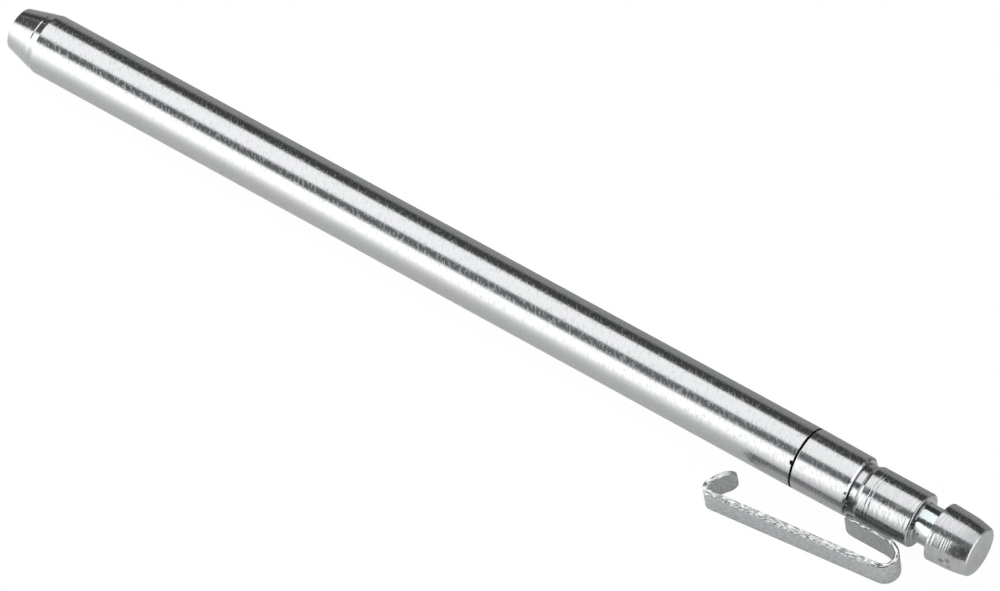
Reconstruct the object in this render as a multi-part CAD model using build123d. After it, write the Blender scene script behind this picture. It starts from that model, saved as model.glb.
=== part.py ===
from build123d import *
from math import degrees, radians, tan
import os

# A turned steel hinge pin with its loose retaining clip, in millimetres.
# The pin is two turned pieces on one axis: a plain shaft with a conical lead-in, and a stepped
# retaining end whose spigot is bonded into a blind bore in the shaft. The clip is one bent strip
# of spring steel. It stands on its edge, on the same surface as the pin, against the journal.
# Frame: the origin is on the pin's axis, halfway along the shaft's full diameter, which is the
# length that a hinge's knuckles turn on. +X runs along the axis towards the head, and +Z is up
# from the surface that the pin and the clip lie on.

# Shaft
shaft_diameter = 8.0
bearing_length = 113.8      # the full diameter, from the cone to the joint
tip_length = 4.6            # the conical lead-in
tip_diameter = 5.6
tip_edge_radius = 0.12
rim_break = 0.06            # light edge break on both rims of the joint

# Joint between the shaft and the retaining end
joint_gap = 0.24            # the hairline seam round the pin
land_diameter = 6.6         # raised land that seats on the shaft and sets the gap
spigot_diameter = 5.0
spigot_length = 14.0
spigot_chamfer = 0.4
bond_gap = 0.05             # film of retaining compound, on the radius
bore_end_room = 1.2         # free bore past the spigot's end
drill_point_angle = 118.0

# Small dent in the shaft's rim beside the joint
nick_radius = 0.32
nick_depth = 0.15
nick_from_rim = 0.1
nick_clock_angle = 43.0     # degrees from the top of the pin towards -Y

# Retaining end: collar, undercut, journal, neck and crowned head
collar_length = 7.55
collar_taper = 0.08         # the collar's radius falls by this from the joint to its end
collar_chamfer = 0.25
undercut_length = 0.94
undercut_diameter = 6.54
journal_cone_length = 0.6   # the undercut runs out to the journal in a short cone
journal_length = 7.2
journal_diameter = 7.12
journal_chamfer = 0.26
scribe_from_cone = 1.0      # first of the two fine lines scribed round the journal
scribe_spacing = 0.45
scribe_width = 0.16
scribe_depth = 0.06
neck_length = 2.65
neck_diameter = 5.04
neck_root_radius = 0.2
head_length = 5.55
head_diameter = 7.5
head_break = 0.15
head_taper_length = 2.7     # nearly straight part, before the crown curves in
head_taper_angle = 2.5
face_diameter = 6.32
face_break = 0.12

# Retaining clip
clip_thickness = 0.65
clip_width = 4.0
clip_from_collar = 0.51     # free end of the short leg, along the pin from the collar
clip_clearance = 0.2        # between the short leg and the journal
short_leg_length = 5.5
bend_entry_radius = 3.4     # the short leg runs into the U-bend in a gentle curve
bend_entry_angle = 35.0
bend_inner_radius = 1.32
leg_splay = 5.6             # degrees by which the long leg opens away from the short one
long_leg_length = 22.8
fold_inner_radius = 0.4
fold_angle = 113.6
lip_length = 4.05
lip_radius = 8.0            # the lip curves gently, measured on its outer face
lip_corner_radius = 1.45
leg_lower_corner_radius = 1.0
leg_upper_corner_radius = 0.3

shoulder_share = 0.8        # most of a shoulder's height that its edge break may take
tolerance = 0.001           # for picking edges by their size

# Stations along the pin, from the shaft's tip to the face of the head
shaft_radius = shaft_diameter / 2
cone_x = -bearing_length / 2
tip_x = cone_x - tip_length
joint_x = bearing_length / 2
spigot_x = joint_x - spigot_length
collar_x = joint_x + joint_gap
undercut_x = collar_x + collar_length
journal_cone_x = undercut_x + undercut_length
journal_x = journal_cone_x + journal_cone_length
neck_x = journal_x + journal_length
head_x = neck_x + neck_length
face_x = head_x + head_length


def ring_edge(solid, x, radius):
    """The circular edge of a turned solid at a station and radius."""
    rings = solid.edges().filter_by(GeomType.CIRCLE)
    return rings.sort_by(lambda e: abs(e.arc_center.X - x) + abs(e.radius - radius))[0]


def turned(outline):
    """Revolve a half outline, drawn with the radius along Y, about the pin's axis."""
    return revolve(make_face(outline), Axis.X)


def blind_bore():
    """The drilled bore for the spigot, with its drill point, as a solid to cut away."""
    radius = spigot_diameter / 2 + bond_gap
    end_x = spigot_x - bore_end_room
    point_x = end_x - radius / tan(radians(drill_point_angle / 2))
    outline = Polyline(
        (point_x, 0),
        (end_x, radius),
        (joint_x, radius),
        (joint_x, 0),
        close=True,
    )
    return turned(outline)


def rim_nick():
    """A ball that leaves a small dent in the shaft's surface beside the joint."""
    centre_radius = shaft_radius + nick_radius - nick_depth
    ball = Pos(joint_x - nick_from_rim, 0, centre_radius) * Sphere(nick_radius)
    return Rot(X=nick_clock_angle) * ball


def pin_shaft():
    """Plain shaft with a conical lead-in, bored at the joint end."""
    outline = Polyline(
        (tip_x, 0),
        (tip_x, tip_diameter / 2),
        (cone_x, shaft_radius),
        (joint_x, shaft_radius),
        (joint_x, 0),
        close=True,
    )
    shaft = turned(outline)
    shaft = fillet(ring_edge(shaft, tip_x, tip_diameter / 2), tip_edge_radius)
    shaft = chamfer(ring_edge(shaft, joint_x, shaft_radius), rim_break)
    return shaft - blind_bore() - rim_nick()


def scribe_points(x):
    """Three outline points of one fine V line round the journal."""
    radius = journal_diameter / 2
    return [
        (x - scribe_width / 2, radius),
        (x, radius - scribe_depth),
        (x + scribe_width / 2, radius),
    ]


def retaining_end():
    """Stepped end: spigot, land, collar, undercut, scribed journal, neck and crowned head."""
    first_scribe_x = journal_x + scribe_from_cone
    collar_end_radius = shaft_radius - collar_taper
    journal_radius = journal_diameter / 2
    undercut_radius = undercut_diameter / 2
    collar_break = min(collar_chamfer, shoulder_share * (collar_end_radius - undercut_radius))
    points = [
        (face_x, 0),
        (spigot_x, 0),
        (spigot_x, spigot_diameter / 2),
        (joint_x, spigot_diameter / 2),
        (joint_x, land_diameter / 2),
        (collar_x, land_diameter / 2),
        (collar_x, shaft_radius),
        (undercut_x, collar_end_radius),
        (undercut_x, undercut_radius),
        (journal_cone_x, undercut_radius),
        (journal_x, journal_radius),
        *scribe_points(first_scribe_x),
        *scribe_points(first_scribe_x + scribe_spacing),
        (neck_x, journal_radius),
        (neck_x, neck_diameter / 2),
        (head_x, neck_diameter / 2),
        (head_x, head_diameter / 2),
    ]
    steps = Polyline(*points)
    taper = PolarLine(
        steps @ 1,
        head_taper_length,
        angle=-head_taper_angle,
        length_mode=LengthMode.HORIZONTAL,
    )
    crown = TangentArc(taper @ 1, (face_x, face_diameter / 2), tangent=taper % 1)
    face = Line(crown @ 1, (face_x, 0))
    end = turned(Curve() + [steps, taper, crown, face])

    end = chamfer(ring_edge(end, spigot_x, spigot_diameter / 2), spigot_chamfer)
    end = chamfer(ring_edge(end, collar_x, shaft_radius), rim_break)
    end = chamfer(ring_edge(end, undercut_x, collar_end_radius), collar_break)
    end = chamfer(ring_edge(end, neck_x, journal_radius), journal_chamfer)
    end = fillet(ring_edge(end, neck_x, neck_diameter / 2), neck_root_radius)
    end = fillet(ring_edge(end, head_x, neck_diameter / 2), neck_root_radius)
    end = chamfer(ring_edge(end, head_x, head_diameter / 2), head_break)
    return chamfer(ring_edge(end, face_x, face_diameter / 2), face_break)


def end_corners(clip, x, y):
    """The two short edges across the strip at the end nearest to a plan point, lowest first."""
    across = clip.edges().filter_by(lambda e: abs(e.length - clip_thickness) < tolerance)
    level = across.filter_by(lambda e: abs((e % 0.5).Z) < tolerance)
    nearest = level.sort_by(lambda e: (e @ 0.5 - Vector(x, y, (e @ 0.5).Z)).length)
    return ShapeList(nearest[:2]).sort_by(Axis.Z)


def retaining_clip():
    """Bend the strip along its outer face in plan, then give it its width and round its ends."""
    leg_end_x = undercut_x + clip_from_collar
    leg_y = -(journal_diameter / 2 + clip_clearance)
    entry_radius = bend_entry_radius + clip_thickness
    bend_radius = bend_inner_radius + clip_thickness
    fold_radius = fold_inner_radius + clip_thickness
    bend_angle = 180 - leg_splay - bend_entry_angle
    lip_angle = degrees(lip_length / lip_radius)

    short_leg = Line((leg_end_x, leg_y), (leg_end_x + short_leg_length, leg_y))
    entry = JernArc(short_leg @ 1, short_leg % 1, entry_radius, -bend_entry_angle)
    bend = JernArc(entry @ 1, entry % 1, bend_radius, -bend_angle)
    long_leg = PolarLine(bend @ 1, long_leg_length, direction=bend % 1)
    fold = JernArc(long_leg @ 1, long_leg % 1, fold_radius, -fold_angle)
    lip = JernArc(fold @ 1, fold % 1, lip_radius, -lip_angle)

    outer_face = Wire([short_leg, entry, bend, long_leg, fold, lip])
    plan = Face(outer_face.offset_2d(clip_thickness, side=Side.RIGHT, closed=True))
    clip = Pos(Z=-shaft_radius) * extrude(plan, clip_width, dir=(0, 0, 1))

    lip_end = lip @ 1
    clip = fillet(end_corners(clip, lip_end.X, lip_end.Y), lip_corner_radius)
    clip = fillet(end_corners(clip, leg_end_x, leg_y)[0], leg_lower_corner_radius)
    return fillet(end_corners(clip, leg_end_x, leg_y)[-1], leg_upper_corner_radius)


nodes = {
    "pin_shaft": pin_shaft(),
    "retaining_end": retaining_end(),
    "retaining_clip": retaining_clip(),
}

os.makedirs("parts", exist_ok=True)
for name, piece in nodes.items():
    export_step(piece, f"parts/{name}.step")
    print(name, "volume", round(piece.volume, 2), "mm3")
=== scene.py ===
# %% [markdown]
# # A zinc plated hinge pin and its spring clip
#
# The real pin is turned from drawn steel bar and then plated with zinc. The clip is a strip of
# spring steel, sheared to width and bent. The shapes are simple, so the picture lives on what
# polished metal does: it shows the room. This lesson builds the surfaces first, then the
# finishes, and then a small studio whose bright and dark panels the metal mirrors.
#
# The solids of the construction model are loaded first. They are the fixed frame that every
# piece below has to match, and they are in metres.

import math
import random

import bmesh
import bpy
from mathutils import Matrix, Vector


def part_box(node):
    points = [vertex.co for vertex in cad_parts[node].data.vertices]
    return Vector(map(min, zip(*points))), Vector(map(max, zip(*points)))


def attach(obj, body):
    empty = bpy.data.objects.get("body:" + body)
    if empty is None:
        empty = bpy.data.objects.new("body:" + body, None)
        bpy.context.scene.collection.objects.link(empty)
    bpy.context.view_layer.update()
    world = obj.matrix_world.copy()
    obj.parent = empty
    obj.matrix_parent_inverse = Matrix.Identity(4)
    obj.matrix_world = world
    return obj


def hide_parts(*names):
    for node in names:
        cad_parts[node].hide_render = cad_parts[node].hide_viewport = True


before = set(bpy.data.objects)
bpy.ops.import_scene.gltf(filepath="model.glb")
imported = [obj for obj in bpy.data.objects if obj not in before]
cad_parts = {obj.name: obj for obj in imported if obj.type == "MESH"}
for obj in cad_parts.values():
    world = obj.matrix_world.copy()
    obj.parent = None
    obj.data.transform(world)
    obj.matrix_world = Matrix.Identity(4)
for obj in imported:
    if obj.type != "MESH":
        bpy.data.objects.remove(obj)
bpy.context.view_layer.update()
MM = 0.001

print("solids", sorted(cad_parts))

# %% [markdown]
# ## The camera
#
# The photograph was taken from well above, with a long lens, so the pin's sides look nearly
# parallel. The camera is placed by the point that it looks at, the direction to it and its
# distance, and the roll turns the picture round the line of sight.

# %% Place the camera
SENSOR_WIDTH = 36.0
LENS = 294.93
LOOK_AT = Vector((12.32, -0.567, 0)) * MM
DISTANCE = 996.5 * MM
AZIMUTH = math.radians(44.595)
ELEVATION = math.radians(58.396)
ROLL = math.radians(-11.363)


def photo_camera():
    """Make the camera and turn it by its azimuth, elevation and roll."""
    lens = bpy.data.cameras.new("photo_camera")
    lens.sensor_width = SENSOR_WIDTH
    lens.lens = LENS
    lens.clip_start = 0.01
    lens.clip_end = 50
    camera = bpy.data.objects.new("photo_camera", lens)
    bpy.context.scene.collection.objects.link(camera)
    turn = Matrix.Rotation(AZIMUTH, 4, "Z") @ Matrix.Rotation(math.pi / 2 - ELEVATION, 4, "X")
    turn = turn @ Matrix.Rotation(ROLL, 4, "Z")
    towards_camera = turn @ Vector((0, 0, 1))
    camera.matrix_world = Matrix.Translation(LOOK_AT + towards_camera * DISTANCE) @ turn
    bpy.context.scene.camera = camera
    return camera


camera = photo_camera()
print("camera at", [round(value / MM, 1) for value in camera.location])

# %% [markdown]
# ## Turned work
#
# A lathe makes a shape from an outline, and so does the spin operator. The outline is a chain of
# vertices in the plane of the axis, with the radius along Z. Feed marks, the fine rings that a
# tool leaves, belong to the outline too: an edge of it is subdivided and every second point is
# lowered a few thousandths of a millimetre. That way the rings are real and catch the light as
# the real ones do. A deeper tool ring or a scribed line is a V of three points.

# %% Draw an outline
SAME_PLACE = 0.002 * MM


def draw_outline(points):
    """Start a shape as a chain of (station, radius) points in millimetres."""
    shape = bmesh.new()
    corners = [shape.verts.new((x * MM, 0, radius * MM)) for x, radius in points]
    for pair in zip(corners, corners[1:]):
        shape.edges.new(pair)
    return shape


def groove(station, radius, width, depth):
    """Three outline points of one fine V line."""
    return [
        (station - width / 2, radius),
        (station, radius - depth),
        (station + width / 2, radius),
    ]


# %% Cut feed marks
MARK_SHARES = (0.1, 1.0)


def outline_edges(shape, start, end):
    """The outline's edges between two stations, leaving out upright ones."""
    low, high = start * MM - SAME_PLACE, end * MM + SAME_PLACE
    inside = [e for e in shape.edges if all(low <= v.co.x <= high for v in e.verts)]
    return [e for e in inside if abs(e.verts[0].co.x - e.verts[1].co.x) > SAME_PLACE]


def feed_marks(shape, start, end, pitch, depth, chance):
    """Cut a stretch of the outline into feed steps and lower every second point a little."""
    edges = outline_edges(shape, start, end)
    cuts = 2 * round((end - start) / pitch) - 1
    made = bmesh.ops.subdivide_edges(shape, edges=edges, cuts=cuts)
    points = [item for item in made["geom_inner"] if isinstance(item, bmesh.types.BMVert)]
    points.sort(key=lambda point: point.co.x)
    for point in points[::2]:
        point.co.z -= depth * MM * chance.uniform(*MARK_SHARES)


# %% [markdown]
# The spin goes all the way round, so its end is merged with its start. At the poles many points
# then lie in one place on the axis. Such doubles are removed, and only after that are the faces
# turned to point outwards.

# %% Spin an outline
TURN_STEPS = 256


def spin_outline(shape):
    """Spin the outline all the way round the pin's axis and close its poles."""
    bmesh.ops.spin(
        shape,
        geom=shape.verts[:] + shape.edges[:],
        cent=(0, 0, 0),
        axis=(1, 0, 0),
        angle=math.tau,
        steps=TURN_STEPS,
        use_merge=True,
    )
    bmesh.ops.remove_doubles(shape, verts=shape.verts, dist=SAME_PLACE / 10)
    bmesh.ops.recalc_face_normals(shape, faces=shape.faces)


# %% [markdown]
# No turned corner is left sharp. The ring of edges there is found by its station and radius and
# is bevelled: one segment makes a chamfer, and more of them make a round.

# %% Break corners


def ring_edges(shape, x, radius):
    """The edges of one ring of a turned shape."""

    def on_ring(vert):
        off_station = abs(vert.co.x - x * MM)
        off_radius = abs(math.hypot(vert.co.y, vert.co.z) - radius * MM)
        return off_station < SAME_PLACE and off_radius < SAME_PLACE

    return [edge for edge in shape.edges if all(on_ring(vert) for vert in edge.verts)]


def bevel_edges(shape, edges, width, segments):
    """Bevel some edges by a width in millimetres."""
    bmesh.ops.bevel(
        shape,
        geom=edges,
        offset=width * MM,
        offset_type="OFFSET",
        segments=segments,
        profile=0.5,
        affect="EDGES",
        material=-1,
    )


def break_ring(shape, x, radius, width, segments):
    """Break one turned corner."""
    bevel_edges(shape, ring_edges(shape, x, radius), width, segments)


# %% [markdown]
# ## Knocks
#
# A plated pin gets small dents where parts knock together, most of all on its rims. Each dent is
# the print of a small ball: every vertex inside the ball is pushed in, towards the axis, until
# it lies on the ball's far side. Extra rings near a rim give its dent enough vertices.

# %% Dent a turned shape


def extra_rings(shape, start, end, count):
    """Divide a stretch of the outline evenly, without lowering anything."""
    bmesh.ops.subdivide_edges(shape, edges=outline_edges(shape, start, end), cuts=count)


def dent(shape, x, surface_radius, clock_angle, ball_radius, depth):
    """Press a ball into a turned surface, at an angle counted from the top towards -Y."""
    angle = math.radians(clock_angle)
    outwards = Vector((0, -math.sin(angle), math.cos(angle)))
    centre = Vector((x * MM, 0, 0)) + outwards * (surface_radius + ball_radius - depth) * MM
    for vert in shape.verts:
        offset = vert.co - centre
        if offset.length >= ball_radius * MM:
            continue
        inwards = Vector((0, -vert.co.y, -vert.co.z)).normalized()
        along = offset.dot(inwards)
        reach = (ball_radius * MM) ** 2 - offset.length_squared + along * along
        vert.co += inwards * (math.sqrt(reach) - along)


# %% [markdown]
# ## Turning a shape into a piece
#
# Each finished shape becomes an object at the origin, rides on the part's one body and stands
# for its solid. Corners sharper than a given angle stay crisp, and the weighted normal modifier
# keeps the long faces flat in shading right up to their broken edges. Faces are first given the
# number of their finish, by where they lie along the pin and how far out.

# %% Finish a piece


def choose_finish(shape, index, start, end, outer):
    """Give a finish's number to the faces between two stations and within a radius."""
    for face in shape.faces:
        centre = face.calc_center_median()
        radius = math.hypot(centre.y, centre.z) / MM
        if start <= centre.x / MM <= end and radius <= outer:
            face.material_index = index


def place_object(name, shape):
    """Make a mesh and an object of a shape, and put it into the scene at the origin."""
    mesh = bpy.data.meshes.new(name)
    shape.to_mesh(mesh)
    shape.free()
    thing = bpy.data.objects.new(name, mesh)
    bpy.context.scene.collection.objects.link(thing)
    return thing


def make_piece(name, shape, node, crisp_angle):
    """Make a piece of a shape, and let it stand for a solid of the frame."""
    piece = place_object(name, shape)
    mesh = piece.data
    mesh.shade_smooth()
    mesh.set_sharp_from_angle(angle=math.radians(crisp_angle))
    normals = piece.modifiers.new("even_normals", "WEIGHTED_NORMAL")
    normals.weight = 100
    normals.keep_sharp = True
    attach(piece, "root")
    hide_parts(node)
    low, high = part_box(node)
    mine = [Vector(corner) for corner in piece.bound_box]
    off = max(abs(mine[0][axis] - low[axis]) + abs(mine[6][axis] - high[axis]) for axis in range(3))
    print(name, len(mesh.polygons), "faces, off its solid by", round(off / MM, 3), "mm")
    return piece


# %% [markdown]
# ## The shaft
#
# The shaft is plain bar with a conical lead-in. Its outline runs from the middle of the tip over
# the cone and the full diameter to the joint, and back inside along the bore for the spigot.
# The cone has turning marks and one deeper ring. Every station is worked out from the lengths of
# the stretches, counted from the middle of the full diameter.

# %% Turn the shaft
SHAFT_RADIUS = 4.0
BEARING_LENGTH = 113.8
TIP_LENGTH = 4.6
TIP_RADIUS = 2.8
TIP_ROUND = 0.12
SPIGOT_LENGTH = 14.0
BORE_RADIUS = 2.55
BORE_END_ROOM = 1.2
BORE_POINT_LENGTH = 1.532
RIM_BREAK = 0.06
# Faces at the joint within this radius get the joint's painted shade.
JOINT_SHADE_RADIUS = 3.99
RIM_STRETCH = 0.7
RIM_RINGS = 16
NICK_FROM_RIM = 0.1
NICK_CLOCK = 43
NICK_BALL = 0.32
NICK_DEPTH = 0.15
CONE_RING_STATION = -57.9
CONE_RING_WIDTH = 0.16
CONE_RING_DEPTH = 0.0022
CONE_FEED_PITCH = 0.36
CONE_FEED_DEPTH = 0.008
CONE_SEED = 11
SHAFT_CRISP_ANGLE = 12

JOINT_STATION = BEARING_LENGTH / 2
CONE_STATION = -JOINT_STATION
TIP_STATION = CONE_STATION - TIP_LENGTH
SPIGOT_STATION = JOINT_STATION - SPIGOT_LENGTH
BORE_END = SPIGOT_STATION - BORE_END_ROOM


def cone_radius(station):
    """The lead-in cone's radius at a station."""
    share = (station - TIP_STATION) / TIP_LENGTH
    return TIP_RADIUS + share * (SHAFT_RADIUS - TIP_RADIUS)


def turn_shaft():
    """The plain shaft with its cone, bore, and the dent in its rim."""
    chance = random.Random(CONE_SEED)
    ring_radius = cone_radius(CONE_RING_STATION)
    ring_start = CONE_RING_STATION - CONE_RING_WIDTH / 2
    shape = draw_outline([
        (TIP_STATION, 0),
        (TIP_STATION, TIP_RADIUS),
        *groove(CONE_RING_STATION, ring_radius, CONE_RING_WIDTH, CONE_RING_DEPTH),
        (CONE_STATION, SHAFT_RADIUS),
        (JOINT_STATION - RIM_STRETCH, SHAFT_RADIUS),
        (JOINT_STATION, SHAFT_RADIUS),
        (JOINT_STATION, BORE_RADIUS),
        (BORE_END, BORE_RADIUS),
        (BORE_END - BORE_POINT_LENGTH, 0),
    ])
    feed_marks(shape, TIP_STATION, ring_start, CONE_FEED_PITCH, CONE_FEED_DEPTH, chance)
    extra_rings(shape, JOINT_STATION - RIM_STRETCH, JOINT_STATION, RIM_RINGS)
    spin_outline(shape)
    break_ring(shape, TIP_STATION, TIP_RADIUS, TIP_ROUND, segments=4)
    break_ring(shape, JOINT_STATION, SHAFT_RADIUS, RIM_BREAK, segments=2)
    dent(shape, JOINT_STATION - NICK_FROM_RIM, SHAFT_RADIUS, NICK_CLOCK, NICK_BALL, NICK_DEPTH)
    choose_finish(shape, 1, TIP_STATION, CONE_STATION, SHAFT_RADIUS)
    choose_finish(shape, 2, BORE_END - BORE_POINT_LENGTH, JOINT_STATION, JOINT_SHADE_RADIUS)
    return make_piece("plated_shaft", shape, "pin_shaft", SHAFT_CRISP_ANGLE)


shaft = turn_shaft()

# %% [markdown]
# ## The stepped end
#
# This is one turned piece as well. From the joint outwards it has a collar, an undercut, a
# journal with feed marks and two scribed lines, a narrow neck, and a head that tapers a little
# and then curves in to a flat face. The crown of the head is an arc, and spin draws it too: a
# single vertex is spun round the arc's centre.

# %% Turn the stepped end
SPIGOT_RADIUS = 2.5
SPIGOT_CHAMFER = 0.4
JOINT_GAP = 0.24
LAND_RADIUS = 3.3
COLLAR_LENGTH = 7.55
COLLAR_END_RADIUS = 3.92
COLLAR_CHAMFER = 0.25
UNDERCUT_LENGTH = 0.94
UNDERCUT_RADIUS = 3.27
JOURNAL_CONE_LENGTH = 0.6
JOURNAL_LENGTH = 7.2
JOURNAL_RADIUS = 3.56
JOURNAL_CHAMFER = 0.26
FIRST_SCRIBE = 1.0
SCRIBE_SPACING = 0.45
SCRIBE_WIDTH = 0.16
SCRIBE_DEPTH = 0.06
TOOL_RING_FROM_END = 0.62
TOOL_RING_WIDTH = 0.3
TOOL_RING_DEPTH = 0.02
NECK_LENGTH = 2.65
NECK_RADIUS = 2.52
NECK_ROOT = 0.2
HEAD_LENGTH = 5.55
HEAD_RADIUS = 3.75
HEAD_BREAK = 0.15
HEAD_TAPER_LENGTH = 2.7
HEAD_TAPER = math.radians(2.5)
HEAD_RINGS = (0.62, 1.9, 2.24, 2.55)
HEAD_RING_WIDTH = 0.2
HEAD_RING_DEPTH = 0.016
FACE_RADIUS = 3.16
FACE_BREAK = 0.15
CROWN_STEPS = 20
CROWN_CHATTER = 0.004
FEED_PITCH = 0.3
RINGED_FEED_DEPTH = 0.012
SMOOTH_FEED_DEPTH = 0.006
UNDERCUT_FEED_DEPTH = 0.01
HEAD_FEED_DEPTH = 0.004
END_SEED = 5
END_CRISP_ANGLE = 19

COLLAR_STATION = JOINT_STATION + JOINT_GAP
UNDERCUT_STATION = COLLAR_STATION + COLLAR_LENGTH
JOURNAL_CONE_STATION = UNDERCUT_STATION + UNDERCUT_LENGTH
JOURNAL_STATION = JOURNAL_CONE_STATION + JOURNAL_CONE_LENGTH
NECK_STATION = JOURNAL_STATION + JOURNAL_LENGTH
HEAD_STATION = NECK_STATION + NECK_LENGTH
CROWN_STATION = HEAD_STATION + HEAD_TAPER_LENGTH
FACE_STATION = HEAD_STATION + HEAD_LENGTH
CROWN_RADIUS = HEAD_RADIUS - HEAD_TAPER_LENGTH * math.tan(HEAD_TAPER)


def draw_crown(shape, chance):
    """Spin one vertex along the crown's arc, which leaves the taper without a corner."""
    start = Vector((CROWN_STATION, 0, CROWN_RADIUS))
    end = Vector((FACE_STATION, 0, FACE_RADIUS))
    inwards = Vector((-math.sin(HEAD_TAPER), 0, -math.cos(HEAD_TAPER)))
    chord = end - start
    arc_radius = chord.length_squared / (2 * chord.dot(inwards))
    centre = start + inwards * arc_radius
    angle = 2 * math.asin(chord.length / (2 * arc_radius))
    first = shape.verts.new(start * MM)
    before = set(shape.verts)
    made = bmesh.ops.spin(
        shape,
        geom=[first],
        cent=centre * MM,
        axis=(0, 1, 0),
        angle=angle,
        steps=CROWN_STEPS,
    )
    crown = set(shape.verts) - before - set(made["geom_last"])
    for vert in sorted(crown, key=lambda vert: vert.co.x)[::2]:
        vert.co.z -= chance.uniform(0, CROWN_CHATTER) * MM


def turn_end():
    """The spigot, land, collar, undercut, journal, neck and crowned head."""
    chance = random.Random(END_SEED)
    first_scribe = JOURNAL_STATION + FIRST_SCRIBE
    second_scribe = first_scribe + SCRIBE_SPACING
    tool_ring = NECK_STATION - TOOL_RING_FROM_END
    head_rings = []
    for along in HEAD_RINGS:
        radius = HEAD_RADIUS - along * math.tan(HEAD_TAPER)
        head_rings += groove(HEAD_STATION + along, radius, HEAD_RING_WIDTH, HEAD_RING_DEPTH)
    shape = draw_outline([
        (SPIGOT_STATION, 0),
        (SPIGOT_STATION, SPIGOT_RADIUS),
        (JOINT_STATION, SPIGOT_RADIUS),
        (JOINT_STATION, LAND_RADIUS),
        (COLLAR_STATION, LAND_RADIUS),
        (COLLAR_STATION, SHAFT_RADIUS),
        (UNDERCUT_STATION, COLLAR_END_RADIUS),
        (UNDERCUT_STATION, UNDERCUT_RADIUS),
        (JOURNAL_CONE_STATION, UNDERCUT_RADIUS),
        (JOURNAL_STATION, JOURNAL_RADIUS),
        *groove(first_scribe, JOURNAL_RADIUS, SCRIBE_WIDTH, SCRIBE_DEPTH),
        *groove(second_scribe, JOURNAL_RADIUS, SCRIBE_WIDTH, SCRIBE_DEPTH),
        *groove(tool_ring, JOURNAL_RADIUS, TOOL_RING_WIDTH, TOOL_RING_DEPTH),
        (NECK_STATION, JOURNAL_RADIUS),
        (NECK_STATION, NECK_RADIUS),
        (HEAD_STATION, NECK_RADIUS),
        (HEAD_STATION, HEAD_RADIUS),
        *head_rings,
        (CROWN_STATION, CROWN_RADIUS),
    ])
    draw_crown(shape, chance)
    face_edge = max(shape.verts, key=lambda vert: (vert.co.x, -vert.co.z))
    pole = shape.verts.new((FACE_STATION * MM, 0, 0))
    shape.edges.new((face_edge, pole))
    bmesh.ops.remove_doubles(shape, verts=shape.verts, dist=SAME_PLACE)
    for start, end, depth in (
        (second_scribe + SCRIBE_WIDTH / 2, tool_ring - TOOL_RING_WIDTH / 2, RINGED_FEED_DEPTH),
        (JOURNAL_STATION, first_scribe - SCRIBE_WIDTH / 2, SMOOTH_FEED_DEPTH),
        (UNDERCUT_STATION, JOURNAL_CONE_STATION, UNDERCUT_FEED_DEPTH),
        (head_rings[2][0], head_rings[3][0], HEAD_FEED_DEPTH),
    ):
        feed_marks(shape, start, end, FEED_PITCH, depth, chance)
    spin_outline(shape)
    for station, radius, width, segments in (
        (SPIGOT_STATION, SPIGOT_RADIUS, SPIGOT_CHAMFER, 1),
        (COLLAR_STATION, SHAFT_RADIUS, RIM_BREAK, 2),
        (UNDERCUT_STATION, COLLAR_END_RADIUS, COLLAR_CHAMFER, 1),
        (NECK_STATION, JOURNAL_RADIUS, JOURNAL_CHAMFER, 5),
        (NECK_STATION, NECK_RADIUS, NECK_ROOT, 6),
        (HEAD_STATION, NECK_RADIUS, NECK_ROOT, 6),
        (HEAD_STATION, HEAD_RADIUS, HEAD_BREAK, 3),
        (FACE_STATION, FACE_RADIUS, FACE_BREAK, 1),
    ):
        break_ring(shape, station, radius, width, segments)
    choose_finish(shape, 1, UNDERCUT_STATION, NECK_STATION, SHAFT_RADIUS)
    choose_finish(shape, 2, NECK_STATION, HEAD_STATION, NECK_RADIUS + NECK_ROOT)
    choose_finish(shape, 3, HEAD_STATION, FACE_STATION, HEAD_RADIUS)
    choose_finish(shape, 4, SPIGOT_STATION, COLLAR_STATION + RIM_BREAK, JOINT_SHADE_RADIUS)
    return make_piece("plated_end", shape, "retaining_end", END_CRISP_ANGLE)


end_piece = turn_end()

# %% [markdown]
# ## The spring clip
#
# The real clip is bent from a strip, and the mesh is made in the same order. It starts as the
# strip's end, one upright rectangle. Straight stretches are extruded and moved, and bends are
# spun round the bend's own axis, always carrying the last face on.

# %% Bend the clip
STRIP_THICKNESS = 0.65
STRIP_WIDTH = 4.0
LEG_END_FROM_COLLAR = 0.51
LEG_FROM_JOURNAL = 0.2
SHORT_LEG = 5.5
ENTRY_RADIUS = 4.05
ENTRY_ANGLE = 35.0
BEND_RADIUS = 1.97
LEG_SPLAY = 5.6
LONG_LEG = 22.8
FOLD_RADIUS = 1.05
FOLD_ANGLE = 113.6
LIP_RADIUS = 8.0
LIP_LENGTH = 4.05
LIP_END = 1.5
LIP_CORNER = 1.45
LEG_LOWER_CORNER = 1.0
LEG_UPPER_CORNER = 0.3
ROLLED_EDGE = 0.12
PLAIN_EDGE = 0.05
CLIP_CRISP_ANGLE = 40

BEND_ANGLE = 180 - LEG_SPLAY - ENTRY_ANGLE
ENTRY_LENGTH = ENTRY_RADIUS * math.radians(ENTRY_ANGLE)
LONG_LEG_START = SHORT_LEG + ENTRY_LENGTH + BEND_RADIUS * math.radians(BEND_ANGLE)
STRIP_LENGTH = LONG_LEG_START + LONG_LEG + FOLD_RADIUS * math.radians(FOLD_ANGLE) + LIP_LENGTH
LEG_END_STATION = UNDERCUT_STATION + LEG_END_FROM_COLLAR
LEG_Y = -(JOURNAL_RADIUS + LEG_FROM_JOURNAL)


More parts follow.
